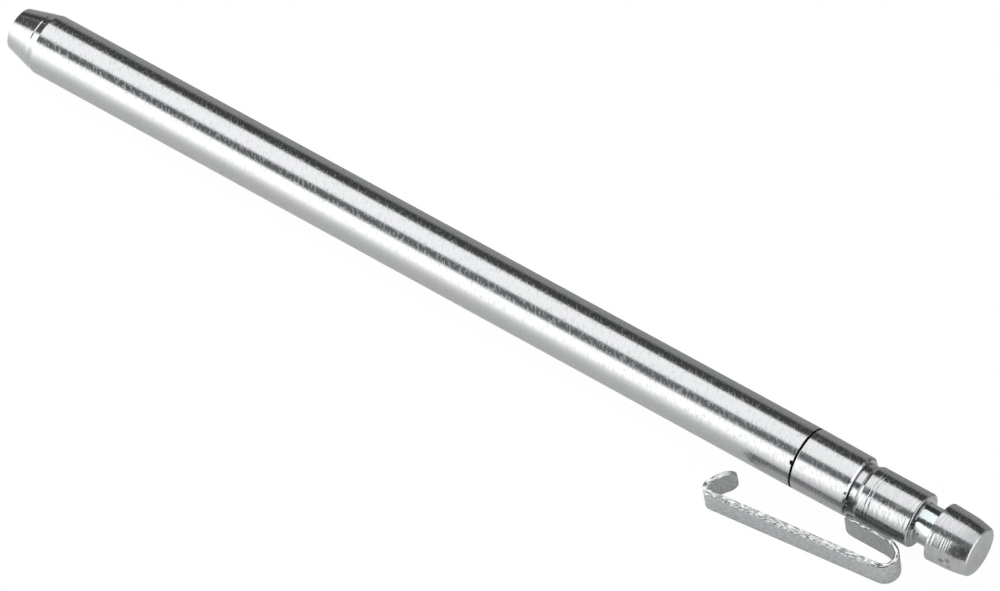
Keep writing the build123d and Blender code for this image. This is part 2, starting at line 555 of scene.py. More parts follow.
class Strip:
    """A strip that grows from its last end face, like stock fed through a bender."""

    def __init__(self):
        self.shape = bmesh.new()
        self.heading = Vector((1, 0, 0))
        self.place = Vector((LEG_END_STATION, LEG_Y, 0))
        self.path = [self.place.copy()]
        corners = [(0, 0), (-STRIP_THICKNESS, 0), (-STRIP_THICKNESS, 1), (0, 1)]
        verts = [self.corner(side, level) for side, level in corners]
        self.first = self.shape.faces.new(verts)
        self.end = [self.first]

    def corner(self, side, level):
        """One corner of the first end face."""
        height = level * STRIP_WIDTH - SHAFT_RADIUS
        return self.shape.verts.new((self.place.x * MM, (self.place.y + side) * MM, height * MM))

    def feed(self, length):
        """Push the end face straight on."""
        made = bmesh.ops.extrude_face_region(self.shape, geom=self.end)
        verts = [item for item in made["geom"] if isinstance(item, bmesh.types.BMVert)]
        bmesh.ops.translate(self.shape, verts=verts, vec=self.heading * length * MM)
        self.end = [item for item in made["geom"] if isinstance(item, bmesh.types.BMFace)]
        self.place += self.heading * length
        self.path.append(self.place.copy())

    def bend(self, outer_radius, degrees, steps):
        """Spin the end face to the right, round an axis that stands beside the outer face."""
        right = self.heading.cross(Vector((0, 0, 1)))
        centre = self.place + right * outer_radius
        angle = -math.radians(degrees)
        geom = set(self.end)
        for face in self.end:
            geom.update(face.edges)
            geom.update(face.verts)
        made = bmesh.ops.spin(
            self.shape,
            geom=list(geom),
            cent=centre * MM,
            axis=(0, 0, 1),
            angle=angle,
            steps=steps,
        )
        self.end = [item for item in made["geom_last"] if isinstance(item, bmesh.types.BMFace)]
        spoke = self.place - centre
        for step in range(steps):
            turn = Matrix.Rotation(angle * (step + 1) / steps, 3, "Z")
            self.path.append(centre + turn @ spoke)
        self.place = self.path[-1].copy()
        self.heading = turn @ self.heading


# %% [markdown]
# An end corner is rounded by a bevel of the one short edge there. It is found as the edge of the
# strip's own thickness, at the right height, whose middle is nearest to the end of the strip.
#
# Shearing rolls one side of a strip's edge over, so the edges of the outer face get a wide round
# and those of the inner face a small one. To tell them apart, the faces carry the numbers of
# their finishes from the start: 0 for the outer face, 1 for everything sheared, and 2 for the
# inner face, which is turned back into 0 at the end.
#
# Rolling and shearing both leave streaks that follow the strip round its bends. So every vertex
# also stores its place in the strip as it was when flat, for the finishes to use.

# %% Round the strip's ends and edges
LEVEL_NORMAL = 0.5


def end_corner(shape, station, y, level):
    """The short edge across the strip at one of its ends, nearest to a point in plan."""
    height = (level * STRIP_WIDTH - SHAFT_RADIUS) * MM
    target = Vector((station * MM, y * MM, height))

    def across(edge):
        level_edge = all(abs(vert.co.z - height) < SAME_PLACE for vert in edge.verts)
        right_length = abs(edge.calc_length() - STRIP_THICKNESS * MM) < SAME_PLACE
        return level_edge and right_length

    def distance(edge):
        middle = (edge.verts[0].co + edge.verts[1].co) / 2
        return (middle - target).length

    return min(filter(across, shape.edges), key=distance)


def mark_faces(strip):
    """Number the outer face 0, the sheared edges and ends 1, and the inner face 2."""
    ends = (strip.first, *strip.end)
    inside = Vector((LEG_END_STATION * MM, (LEG_Y - BEND_RADIUS) * MM, 0))
    for face in strip.shape.faces:
        away = (face.calc_center_median() - inside).dot(face.normal)
        face.material_index = 0 if away > 0 else 2
        if face in ends or abs(face.normal.z) > LEVEL_NORMAL:
            face.material_index = 1


def edges_between(shape, first, second):
    """The edges between faces of two finishes."""
    numbers = {first, second}
    return [e for e in shape.edges if {face.material_index for face in e.link_faces} == numbers]


def strip_place(path, vert):
    """How far along the strip a vertex lies, how deep from its outer face, and how high."""
    flat = Vector((vert.co.x, vert.co.y, 0)) / MM
    best = None
    behind = 0.0
    for start, end in zip(path, path[1:]):
        length = (end - start).length
        share = min(max((flat - start).dot(end - start) / length**2, 0), 1)
        depth = (flat - start.lerp(end, share)).length
        if best is None or depth < best[1]:
            best = (behind + share * length, depth)
        behind += length
    return Vector((best[0] * MM, best[1] * MM, vert.co.z))


def bend_clip():
    """Feed and bend the strip from its short leg to its folded lip, then round its edges."""
    strip = Strip()
    strip.feed(SHORT_LEG)
    strip.bend(ENTRY_RADIUS, ENTRY_ANGLE, steps=10)
    strip.bend(BEND_RADIUS, BEND_ANGLE, steps=30)
    strip.feed(LONG_LEG)
    strip.bend(FOLD_RADIUS, FOLD_ANGLE, steps=20)
    strip.bend(LIP_RADIUS, math.degrees((LIP_LENGTH - LIP_END) / LIP_RADIUS), steps=6)
    strip.bend(LIP_RADIUS, math.degrees(LIP_END / LIP_RADIUS), steps=1)
    shape = strip.shape
    bmesh.ops.recalc_face_normals(shape, faces=shape.faces)
    mark_faces(strip)
    lip_x, lip_y, _ = strip.place
    for x, y, level, radius, segments in (
        (lip_x, lip_y, 0, LIP_CORNER, 10),
        (lip_x, lip_y, 1, LIP_CORNER, 10),
        (LEG_END_STATION, LEG_Y, 0, LEG_LOWER_CORNER, 8),
        (LEG_END_STATION, LEG_Y, 1, LEG_UPPER_CORNER, 4),
    ):
        bevel_edges(shape, [end_corner(shape, x, y, level)], radius, segments)
    bevel_edges(shape, edges_between(shape, 2, 1), PLAIN_EDGE, segments=2)
    bevel_edges(shape, edges_between(shape, 0, 1), ROLLED_EDGE, segments=4)
    for face in shape.faces:
        face.material_index %= 2
    layer = shape.verts.layers.float_vector.new("strip_place")
    for vert in shape.verts:
        vert[layer] = strip_place(strip.path, vert)
    print("clip open edges", sum(len(edge.link_faces) != 2 for edge in shape.edges))
    return make_piece("bent_clip", shape, "retaining_clip", CLIP_CRISP_ANGLE)


clip = bend_clip()

# %% [markdown]
# ## Short words for shader nodes
#
# The finishes below are node trees. Writing each node out takes many lines, so a small helper
# adds nodes and wires them. An input gets a wire from another node or a plain value, and a
# socket's name is written with underscores for its spaces. The height of a bump is counted in
# tenths of a millimetre.

# %% Wire nodes
BUMP_UNIT = 0.1 * MM


class Tree:
    """A node tree with short calls for adding and wiring nodes."""

    def __init__(self, tree):
        self.nodes = tree.nodes
        self.links = tree.links

    def add(self, kind, **settings):
        """Add a node and set its plain settings."""
        node = self.nodes.new(kind)
        for name, value in settings.items():
            setattr(node, name, value)
        return node

    def feed(self, socket, source):
        """Wire a socket to an output, or set it to a number or a list of numbers."""
        if isinstance(source, bpy.types.NodeSocket):
            self.links.new(source, socket)
        else:
            socket.default_value = source

    def fill(self, node, **sources):
        """Feed a node's inputs by their names, and give its outputs."""
        for name, source in sources.items():
            self.feed(node.inputs[name.replace("_", " ")], source)
        return node.outputs

    def row(self, node, *sources):
        """Feed a node's inputs in their order, and give its outputs."""
        for socket, source in zip(node.inputs, sources):
            self.feed(socket, source)
        return node.outputs

    def group(self, group_tree, **values):
        """Place a group, with a value or a wire for each named input."""
        return self.fill(self.add("ShaderNodeGroup", node_tree=group_tree), **values)

    def math(self, operation, first, second=0.0):
        """One step of arithmetic."""
        return self.row(self.add("ShaderNodeMath", operation=operation), first, second)[0]

    def times(self, first, *factors):
        """The product of two numbers or more."""
        for factor in factors:
            first = self.math("MULTIPLY", first, factor)
        return first

    def vector(self, operation, first, second):
        """One step of vector arithmetic."""
        made = self.row(self.add("ShaderNodeVectorMath", operation=operation), first, second)
        return made["Value" if operation == "DISTANCE" else "Vector"]

    def combine(self, x, y, z):
        """Three numbers as one vector."""
        return self.row(self.add("ShaderNodeCombineXYZ"), x, y, z)[0]

    def split(self, source):
        """The X, Y and Z of a vector."""
        return self.row(self.add("ShaderNodeSeparateXYZ"), source)

    def remap(self, value, low, high, to_low=0.0, to_high=1.0):
        """Map a number smoothly from one range to another."""
        node = self.add("ShaderNodeMapRange", interpolation_type="SMOOTHSTEP")
        return self.row(node, value, low, high, to_low, to_high)[0]

    def fade(self, value, start, end, to_start=1.0, to_end=0.0):
        """Fall from one to nothing, or as told, between two places in millimetres."""
        return self.remap(value, start * MM, end * MM, to_start, to_end)

    def mask(self, value, level, softness):
        """Nothing where a value is below a level and one where it is above, softly."""
        low = self.math("SUBTRACT", level, softness)
        high = self.math("ADD", level, softness)
        return self.remap(value, low, high)

    def mix(self, share, first, second, blend="MIX"):
        """Mix or blend two colours."""
        node = self.add("ShaderNodeMix", data_type="RGBA", blend_type=blend)
        self.feed(node.inputs["Factor"], share)
        colours = [socket for socket in node.inputs if socket.type == "RGBA"]
        self.feed(colours[0], first)
        self.feed(colours[1], second)
        return next(socket for socket in node.outputs if socket.type == "RGBA")

    def noise(self, place, detail, roughness=0.5, dimensions="3D"):
        """Soft noise whose patches are about one unit wide."""
        node = self.add("ShaderNodeTexNoise", noise_dimensions=dimensions)
        made = self.fill(node, Vector=place, Scale=1.0, Detail=detail, Roughness=roughness)
        return made["Fac"]

    def bump(self, bsdf, height):
        """Give a shader a relief of a height in bump units."""
        made = self.fill(self.add("ShaderNodeBump"), Distance=BUMP_UNIT, Height=height)
        self.feed(bsdf.inputs["Normal"], made["Normal"])

    def object_place(self):
        """The place in a piece's own coordinates."""
        return self.add("ShaderNodeTexCoord").outputs["Object"]

    def strip_place(self):
        """The place in the flat strip, which the clip's vertices carry."""
        return self.add("ShaderNodeAttribute", attribute_name="strip_place").outputs["Vector"]


# %% [markdown]
# An effect that several finishes share becomes a node group. Its named inputs make it one
# effect with many looks, in the way that a function's arguments do. Most of its sockets are
# plain numbers, and an input that gets no value stays 0.

# %% Start a group
SOCKET_KINDS = {
    "Color": "NodeSocketColor",
    "Tint A": "NodeSocketColor",
    "Tint B": "NodeSocketColor",
    "Centre": "NodeSocketVector",
}


def start_group(name, inputs, outputs):
    """A new node group with its named sockets, and its input and output nodes."""
    group = bpy.data.node_groups.new(name, "ShaderNodeTree")
    for side, socket_names in (("INPUT", inputs), ("OUTPUT", outputs)):
        for socket_name in socket_names:
            kind = SOCKET_KINDS.get(socket_name, "NodeSocketFloat")
            group.interface.new_socket(socket_name, in_out=side, socket_type=kind)
    print("group", name, "takes", inputs, "and gives", outputs)
    tree = Tree(group)
    return group, tree, tree.add("NodeGroupInput").outputs, tree.add("NodeGroupOutput").inputs


# %% [markdown]
# ## Streaks on the unrolled surface
#
# Drawn bar has short slanted flecks where the skin of the steel was torn a little, and turned
# steps have rings. Both are the same effect: a noise that is stretched along one direction of
# the surface. To stretch it, the surface is unrolled first: the angle round the axis, times the
# shaft's radius, is one coordinate, and the station along the pin is the other. The group turns
# that flat picture by a slant and divides it by the length and the width of one streak.

# %% Streak group


def build_streaks():
    """Stretched noise on the unrolled surface: the raw noise and a mask of its peaks."""
    inputs = ["Length", "Width", "Slant", "Level", "Softness", "Seed"]
    group, tree, given, out = start_group("streaks", inputs, ["Noise", "Mask"])
    place = tree.split(tree.object_place())
    arc = tree.times(tree.math("ARCTAN2", place["Y"], place["Z"]), SHAFT_RADIUS * MM)
    turn = tree.add("ShaderNodeVectorRotate", rotation_type="Z_AXIS")
    turned = tree.fill(turn, Vector=tree.combine(place["X"], arc, 0.0), Angle=given["Slant"])[0]
    scaled = tree.vector("DIVIDE", turned, tree.combine(given["Length"], given["Width"], 1.0))
    moved = tree.vector("ADD", scaled, tree.combine(given["Seed"], given["Seed"], 0.0))
    noise = tree.noise(moved, detail=2.0, roughness=0.55, dimensions="2D")
    tree.feed(out["Noise"], noise)
    tree.feed(out["Mask"], tree.mask(noise, given["Level"], given["Softness"]))
    return group


streaks = build_streaks()

# %% [markdown]
# ## Colour drift
#
# Zinc plate is passivated in a bath, and the film that this leaves is thin enough to be tinted:
# a few millimetres of it lean to green and the next few to a warm grey. The strip of the clip
# does the same in blue and lilac, so this is a group too. It mixes two tints by a soft noise.

# %% Drift group


def build_drift():
    """Two tints mixed in soft patches of a given size."""
    group, tree, given, out = start_group("drift", ["Tint A", "Tint B", "Size"], ["Color"])
    scaled = tree.vector("DIVIDE", tree.object_place(), given["Size"])
    share = tree.remap(tree.noise(scaled, detail=2.0), 0.35, 0.65)
    tree.feed(out["Color"], tree.mix(share, given["Tint A"], given["Tint B"]))
    return group


drift = build_drift()

# %% [markdown]
# ## Grain
#
# A fine all-round grain, for sheared, blasted or rolled metal, that doesn't follow the axis. It
# is given in three dimensions, so it fits any face of a piece.

# %% Grain group


def build_grain():
    """Fine grain of a given size."""
    group, tree, given, out = start_group("grain", ["Size"], ["Noise"])
    scaled = tree.vector("DIVIDE", tree.object_place(), given["Size"])
    tree.feed(out["Noise"], tree.noise(scaled, detail=3.0))
    return group


grain = build_grain()

# %% [markdown]
# The spring strip has the same thing in its own flat coordinates, which its vertices carry: a
# noise that is stretched along the strip and follows it round each bend.

# %% Rolled streaks group


def build_rolled():
    """Noise stretched along the strip: the raw noise and a mask of its peaks."""
    inputs = ["Length", "Width", "Level", "Softness"]
    group, tree, given, out = start_group("rolled", inputs, ["Noise", "Mask"])
    size = tree.combine(given["Length"], given["Width"], given["Width"])
    noise = tree.noise(tree.vector("DIVIDE", tree.strip_place(), size), detail=2.5)
    tree.feed(out["Noise"], noise)
    tree.feed(out["Mask"], tree.mask(noise, given["Level"], given["Softness"]))
    return group


rolled = build_rolled()

# %% [markdown]
# ## Spots
#
# The plate has a few dark marks: some are dirt and small knocks, and those on the neck and low in
# the undercut are painted shade. The bright marks at the collar's end are painted highlights. Each
# one is a ball round a place on the surface, with an edge that a fine noise makes ragged.

# %% Spot group
RAGGED_SIZE = 0.25 * MM
SPOT_CORE = 0.4
SPOT_RIM = 1.2


def build_spot():
    """A ragged spot round a place."""
    group, tree, given, out = start_group("spot", ["Centre", "Radius", "Strength"], ["Mask"])
    ragged = tree.group(grain, Size=RAGGED_SIZE)["Noise"]
    reach = tree.times(given["Radius"], tree.math("ADD", ragged, 0.5))
    distance = tree.vector("DISTANCE", tree.object_place(), given["Centre"])
    inside = tree.remap(tree.math("DIVIDE", distance, reach), SPOT_CORE, SPOT_RIM, 1.0, 0.0)
    tree.feed(out["Mask"], tree.times(inside, given["Strength"]))
    return group


spot = build_spot()

# %% [markdown]
# ## Zinc plate
#
# One function makes every plated finish, and each stretch of the pin gets its own values: the drawn
# bar is flecked, the collar a little less, and the turned steps are ringed instead. Flecks are
# small torn places, so they are rougher than the plate round them: in a dark reflection they gather
# light and show bright, and in a bright one they show a little darker. Rings vary in tone as well
# as in height. The dark marks, partly dirt and partly painted shade, and the painted highlights are
# laid over both.

# %% Zinc plate for any stretch
GREEN_ZINC = (0.434, 0.450, 0.450, 1)
WARM_ZINC = (0.446, 0.447, 0.455, 1)
ZINCS = (GREEN_ZINC, WARM_ZINC)
NECK_ZINCS = ((0.455, 0.51, 0.508, 1), (0.50, 0.515, 0.52, 1))
ZINC_PATCH = 3.5 * MM
FLECKS = {"Length": 0.8 * MM, "Width": 0.28 * MM, "Slant": math.radians(62), "Softness": 0.09}
RINGS = {
    "Length": 9 * MM,
    "Width": 0.22 * MM,
    "Slant": math.radians(90),
    "Level": 0.5,
    "Softness": 0.2,
    "Seed": 7.0,
}
# Colour of the dark marks: dirt and knocks in some places, painted shade in others.
STAIN_AND_SHADE_COLOUR = (0.05, 0.056, 0.056, 1)
# Painted highlight: the colour of the bright marks at the collar's end.
PAINTED_HIGHLIGHT_COLOUR = (0.95, 0.97, 0.96, 1)
MARK_ROUGHNESS = 0.45


def new_material(name):
    """A material with a Principled shader, as a short-call tree and the shader."""
    material = bpy.data.materials.new(name)
    material.use_nodes = True
    return material, Tree(material.node_tree), material.node_tree.nodes["Principled BSDF"]


def plated(name, smooth, fleck_level, fleck_rough, fleck_bump, ring_tone, ring_bump,
           tints=ZINCS, stains_and_shade=(), painted_highlights=()):
    """Zinc plate with slanted flecks, turning rings, dark marks that are partly dirt and partly
    painted shade, and painted highlights.
    """
    material, tree, bsdf = new_material(name)
    flecks = tree.group(streaks, Level=fleck_level, **FLECKS)
    rings = tree.group(streaks, **RINGS)
    tint = tree.group(drift, Tint_A=tints[0], Tint_B=tints[1], Size=ZINC_PATCH)["Color"]
    darkening = tree.remap(rings["Mask"], 0.0, 1.0, 1.0 - ring_tone, 1.0)
    colour = tree.mix(1.0, tint, darkening, "MULTIPLY")
    rough = tree.remap(flecks["Mask"], 0.0, 1.0, smooth, fleck_rough)
    marks = [(*item, STAIN_AND_SHADE_COLOUR) for item in stains_and_shade] + [(*item, PAINTED_HIGHLIGHT_COLOUR) for item in painted_highlights]
    for centre, radius, strength, mark_colour in marks:
        place = Vector(centre) * MM
        mask = tree.group(spot, Centre=place, Radius=radius * MM, Strength=strength)["Mask"]
        colour = tree.mix(mask, colour, mark_colour)
        rough = tree.math("MAXIMUM", rough, tree.times(mask, MARK_ROUGHNESS))
    tree.fill(bsdf, Base_Color=colour, Roughness=rough, Metallic=1.0)
    relief = tree.math("ADD", tree.times(flecks["Noise"], fleck_bump),
                       tree.times(rings["Noise"], ring_bump))
    tree.bump(bsdf, relief)
    return material


# %% [markdown]
# The marks are placed where the photograph shows them. Each one has its centre on the surface and
# its radius, in millimetres, and its strength. The long dark run on the journal is painted shade,
# and the trail at the collar's end is a painted highlight; both are rows of such marks that
# overlap.

# %% Place the marks
collar_spots = [
    ((64.42, -1.60, 3.58), 0.3, 0.9),
    ((64.49, -2.79, 2.66), 0.24, 0.9),
    ((64.64, 1.03, 3.58), 0.35, 0.6),
    ((64.65, 1.67, 3.31), 0.42, 0.65),
    ((64.65, 2.40, 2.82), 0.45, 0.65),
]
# Painted highlights in a trail down the collar's end.
collar_painted_highlights = [
    ((64.69, -3.17, 1.31), 0.25, 0.9),
    ((64.72, -3.24, 0.64), 0.25, 0.9),
    ((64.70, -3.35, -0.12), 0.25, 0.9),
    ((64.69, -3.56, -0.20), 0.22, 0.9),
    ((64.66, -3.61, -0.82), 0.28, 0.9),
]
# Dark marks on the steps; the two large ones low at the undercut are painted shade.
step_spots_and_shade = [
    ((69.25, -1.59, 3.18), 0.26, 0.9),
    ((65.34, -1.26, 3.02), 0.36, 0.9),
    ((65.05, -2.89, 1.54), 0.95, 0.9),
    ((65.15, -3.27, 0.11), 1.3, 0.9),
]
# Painted shade, darkening the neck's dark stripes and the shadow low on it.
neck_painted_shade = [
    ((73.46, -1.42, 2.18), 0.28, 1.0),
    ((73.46, -1.77, 1.90), 0.28, 1.0),
    ((73.46, -2.08, 1.56), 0.28, 1.0),
    ((73.78, -1.07, 2.28), 0.34, 0.9),
    ((74.34, -1.01, 2.31), 0.38, 0.9),
    ((74.77, -1.12, 2.26), 0.30, 0.9),
    ((75.27, -1.01, 2.31), 0.36, 0.9),
    ((73.64, 0.99, 2.32), 0.4, 0.6),
    ((74.26, 0.99, 2.32), 0.4, 0.6),
    ((74.89, 0.99, 2.32), 0.4, 0.6),
    ((73.87, -2.18, 1.27), 0.24, 0.8),
    ((74.34, -2.25, 1.14), 0.22, 0.8),
]
head_spots = [
    ((78.49, -3.66, 0.67), 0.42, 0.58),
    ((79.33, -3.50, 1.06), 0.40, 0.48),
    ((79.53, -3.62, -0.01), 0.38, 0.45),
    ((79.65, -2.65, 2.52), 0.55, 0.75),
    ((80.70, -2.20, 2.60), 0.6, 0.6),
]
print("stains_and_shade", len(collar_spots + step_spots_and_shade + neck_painted_shade + head_spots), "painted_highlights", len(collar_painted_highlights))

# %% [markdown]
# Now each stretch of the pin gets its finish. The bar is the most flecked, with hardly any
# rings, and the journal is ringed the most. The neck is the smoothest and a little brighter in
# tone, because the tool left it so.

# %% Plated finishes
bar_zinc = plated("bar_zinc", smooth=0.18, fleck_level=0.58, fleck_rough=0.31, fleck_bump=0.012,
                  ring_tone=0.0, ring_bump=0.01)
tip_zinc = plated("tip_zinc", smooth=0.16, fleck_level=0.60, fleck_rough=0.26, fleck_bump=0.015,
                  ring_tone=0.08, ring_bump=0.03)
collar_zinc = plated("collar_zinc", smooth=0.17, fleck_level=0.56, fleck_rough=0.28,
                     fleck_bump=0.012, ring_tone=0.0, ring_bump=0.01, stains_and_shade=collar_spots,
                     painted_highlights=collar_painted_highlights)
journal_zinc = plated("journal_zinc", smooth=0.17, fleck_level=0.56, fleck_rough=0.29,
                      fleck_bump=0.015, ring_tone=0.12, ring_bump=0.07, stains_and_shade=step_spots_and_shade,
                      painted_highlights=collar_painted_highlights)
neck_zinc = plated("neck_zinc", smooth=0.11, fleck_level=0.60, fleck_rough=0.22, fleck_bump=0.01,
                   ring_tone=0.02, ring_bump=0.02, tints=NECK_ZINCS, stains_and_shade=neck_painted_shade)
head_zinc = plated("head_zinc", smooth=0.17, fleck_level=0.55, fleck_rough=0.30,
                   fleck_bump=0.015, ring_tone=0.10, ring_bump=0.05, stains_and_shade=head_spots)

# %% [markdown]
# The joint is so narrow that no light comes back out of it. Its faces get a matt, nearly black
# finish of their own, which is not a metal: painted shade for the dark inside the narrow gap.

# %% Painted shade in the joint
# Nearly black tints with a fine grain: painted shade inside the joint.
JOINT_SHADE_TINTS = ((0.006, 0.006, 0.006, 1), (0.02, 0.019, 0.018, 1))
JOINT_SHADE_GRAIN = 0.1 * MM

joint_painted_shade, joint_shade_tree, joint_shade_shader = new_material("joint_painted_shade")
joint_shade_tint = joint_shade_tree.mix(joint_shade_tree.group(grain, Size=JOINT_SHADE_GRAIN)["Noise"], *JOINT_SHADE_TINTS)
joint_shade_tree.fill(joint_shade_shader, Base_Color=joint_shade_tint, Roughness=0.85, Specular_IOR_Level=0.1)

for material in (bar_zinc, tip_zinc, joint_painted_shade):
    shaft.data.materials.append(material)
for material in (collar_zinc, journal_zinc, neck_zinc, head_zinc, joint_painted_shade):
    end_piece.data.materials.append(material)
print("finishes on the pin", len(shaft.data.materials) + len(end_piece.data.materials))

# %% [markdown]
# ## Spring strip
#
# The rolled faces of the strip are satin, grey with a little blue, with a grain too fine to count,
# and the upper rim of the long leg is torn. In the pin they are mirrored at a grazing angle and
# look lighter there, so rays that come from the pin see a lighter colour, which is painted light.
# The Light Path node tells such glossy rays from the camera's.

# %% Faces of the strip
FACE_TINTS = ((0.452, 0.488, 0.474, 1), (0.472, 0.482, 0.498, 1))
FACE_PATCH = 2.2 * MM
TORN_DARK = (0.20, 0.21, 0.21, 1)
TORN_BRIGHT = (0.94, 0.96, 0.97, 1)
# Painted light: the lighter colour that rays from the pin see on the faces.
PAINTED_LIGHT_FACE = (0.85, 0.87, 0.87, 1)
PAINTED_LIGHT_SHARE = 0.5
RAGGED_RIM = 2.0 * MM
ROLL_BUMP = 0.12
TORN_BUMP = 1.3


def from_mirror(tree):
    """One for rays that come from the polished pin, and nothing for the camera's."""
    return tree.add("ShaderNodeLightPath").outputs["Is Glossy Ray"]


def on_long_leg(tree, along):
    """One on the long leg, fading out in the bends at both of its ends."""
    leg_end = LONG_LEG_START + LONG_LEG
    start = tree.fade(along, LONG_LEG_START, LONG_LEG_START + 2, 0.0, 1.0)
    return tree.times(start, tree.fade(along, leg_end, leg_end + 1))


def strip_face():
    """Satin rolled steel, torn along the upper rim of the long leg's outer face."""
    material, tree, bsdf = new_material("strip_face")
    fine = tree.group(rolled, Length=0.5 * MM, Width=0.22 * MM)["Noise"]
    patch = tree.group(grain, Size=0.4 * MM)["Noise"]
    tint = tree.group(drift, Tint_A=FACE_TINTS[0], Tint_B=FACE_TINTS[1], Size=FACE_PATCH)["Color"]
    fine_shade = tree.remap(fine, 0.3, 0.7, 0.8, 1.16)
    patch_shade = tree.remap(patch, 0.35, 0.65, 0.9, 1.1)
    plain = tree.mix(1.0, tint, tree.times(fine_shade, patch_shade), "MULTIPLY")

    place = tree.split(tree.strip_place())
    ragged = tree.times(tree.math("SUBTRACT", patch, 0.5), RAGGED_RIM)
    rim = tree.fade(tree.math("ADD", place["Z"], ragged), -0.75, -0.35, 0.0, 1.0)
    outer = tree.fade(place["Y"], 0.2, 0.3)
    torn_part = tree.times(rim, outer, on_long_leg(tree, place["X"]))
    torn = tree.group(rolled, Length=0.45 * MM, Width=0.28 * MM, Level=0.48, Softness=0.04)
    torn_colour = tree.mix(torn["Mask"], TORN_DARK, TORN_BRIGHT)

    colour = tree.mix(torn_part, plain, torn_colour)
    # Painted light on the faces, for rays from the pin only.
    mirrored = tree.times(from_mirror(tree), PAINTED_LIGHT_SHARE)
    colour = tree.mix(mirrored, colour, PAINTED_LIGHT_FACE)
    rough = tree.remap(fine, 0.3, 0.7, 0.32, 0.45)
    tree.fill(bsdf, Base_Color=colour, Roughness=rough, Metallic=1.0)
    relief = tree.math("ADD", tree.times(fine, ROLL_BUMP),
                       tree.times(torn["Noise"], torn_part, TORN_BUMP))
    tree.bump(bsdf, relief)
    return material


# %% [markdown]
# The sheared edges are another thing: part of each was cut and part was torn off, and the torn part
# is a row of small facets that each throw the light somewhere else. On the short leg, beside the
# pin, rays that come from the pin see the edges nearly black: painted shade in the pin's
# reflection.

# %% Edges of the strip
BEND_PITS = (0.11, 0.11, 0.115, 1)
LEG_PITS = (0.24, 0.245, 0.245, 1)
FACETS = (0.60, 0.61, 0.62, 1)
ROLLED_OVER = (0.19, 0.195, 0.195, 1)
LIP_TIP = (0.62, 0.63, 0.62, 1)
LIP_TIP_ROUGHNESS = 0.55
# Painted shade: the nearly black colour that rays from the pin see on the edges beside it.
PAINTED_SHADE_EDGE = (0.09, 0.095, 0.095, 1)


def strip_edge():
    """Sheared edge: bright torn facets and dark pits, drawn out along the strip."""
    material, tree, bsdf = new_material("strip_edge")
    torn = tree.group(rolled, Length=0.8 * MM, Width=0.24 * MM, Level=0.5, Softness=0.08)
    place = tree.split(tree.strip_place())
    leg = on_long_leg(tree, place["X"])
    colour = tree.mix(torn["Mask"], tree.mix(leg, BEND_PITS, LEG_PITS), FACETS)

    short_leg = tree.fade(place["X"], SHORT_LEG, SHORT_LEG + 2)
    near_outer_face = tree.fade(place["Y"], 0.3, 0.42)
    colour = tree.mix(tree.times(short_leg, near_outer_face), colour, ROLLED_OVER)
    lip_end = tree.fade(place["X"], STRIP_LENGTH - 3, STRIP_LENGTH - 1.5, 0.0, 1.0)
    colour = tree.mix(lip_end, colour, LIP_TIP)
    entry_end = SHORT_LEG + ENTRY_LENGTH
    beside_pin = tree.fade(place["X"], entry_end, entry_end + 2)
    # Painted shade beside the pin, for rays from the pin only.
    colour = tree.mix(tree.times(from_mirror(tree), beside_pin), colour, PAINTED_SHADE_EDGE)

    smooth = tree.remap(leg, 0.0, 1.0, 0.28, 0.4)
    rough = tree.math("MAXIMUM", smooth, tree.times(lip_end, LIP_TIP_ROUGHNESS))
    tree.fill(bsdf, Base_Color=colour, Roughness=rough, Metallic=1.0)
    tree.bump(bsdf, tree.times(torn["Noise"], tree.remap(leg, 0.0, 1.0, 0.9, 0.4)))
    return material


for material in (strip_face(), strip_edge()):
    clip.data.materials.append(material)
print("finishes on the clip", len(clip.data.materials))

# %% [markdown]
# ## The studio
#
# A polished cylinder shows the room as stripes that run along it, one for each panel. The
# photograph's stripes say where the panels stood: a bright one overhead, a bright one in front
# whose foot fades into the floor, dark gaps between and behind them, and a darker floor behind the
# pin, which is painted shadow on the paper. Each panel is a flat board that only the metal and the
# floor see.

# %% Panels
WHITE = (1.0, 1.0, 1.0, 1)
GREENISH = (0.93, 1.0, 1.01, 1)


def bare_material(name):
    """A material without a shader, as a short-call tree and the input for its surface."""
    material = bpy.data.materials.new(name)
    material.use_nodes = True
    tree = Tree(material.node_tree)
    tree.nodes.clear()
    return material, tree, tree.add("ShaderNodeOutputMaterial").inputs["Surface"]


def glow(name, strength, colour):
    """A plain emitting material. Its strength is a number, a fade, or a function of its place."""
    material, tree, surface = bare_material(name)
    place = tree.split(tree.object_place())
    if callable(strength):
        strength = strength(tree, place)
    elif isinstance(strength, tuple):
        strength = tree.remap(place["X"], *strength)
    light = tree.fill(tree.add("ShaderNodeEmission"), Color=colour, Strength=strength)
    tree.feed(surface, light["Emission"])
    return material


def panel(name, corner, side_a, side_b, strength, colour=WHITE):
    """A flat studio panel, given by one corner and its two sides in metres."""
    shape = bmesh.new()
    corner, side_a, side_b = Vector(corner), Vector(side_a), Vector(side_b)
    places = (corner, corner + side_a, corner + side_a + side_b, corner + side_b)
    shape.faces.new([shape.verts.new(place) for place in places])
    board = place_object(name, shape)
    board.data.materials.append(glow(name, strength, colour))
    board.visible_camera = False


# %% [markdown]
# The table gives each panel's corner, its two sides and its strength. Three panels aren't even:
# a fade gives two places in metres and the strength at each of them. The top softbox is a little
# weaker at its right end, and the dark gap round the camera is a little lighter there. The
# front softbox fades towards its foot, and FRONT_LIFT says by how much that fade is raised
# between two places towards its right end.

# %% Set up the panels
TOP_FADE = (-0.45, 0.3, 1.98, 1.3)
CAMERA_FADE = (-0.68, -0.42, 0.15, 0.25)
FRONT_FADE = (-0.25, 0.35, 1.0, 2.5)
FRONT_LIFT = (-0.29, -0.17, 0.0, 0.35)


def front_fade(tree, place):
    """The front softbox fades towards its foot, and more so at its right end."""
    lift = tree.remap(place["X"], *FRONT_LIFT)
    return tree.remap(tree.math("SUBTRACT", place["Z"], lift), *FRONT_FADE)


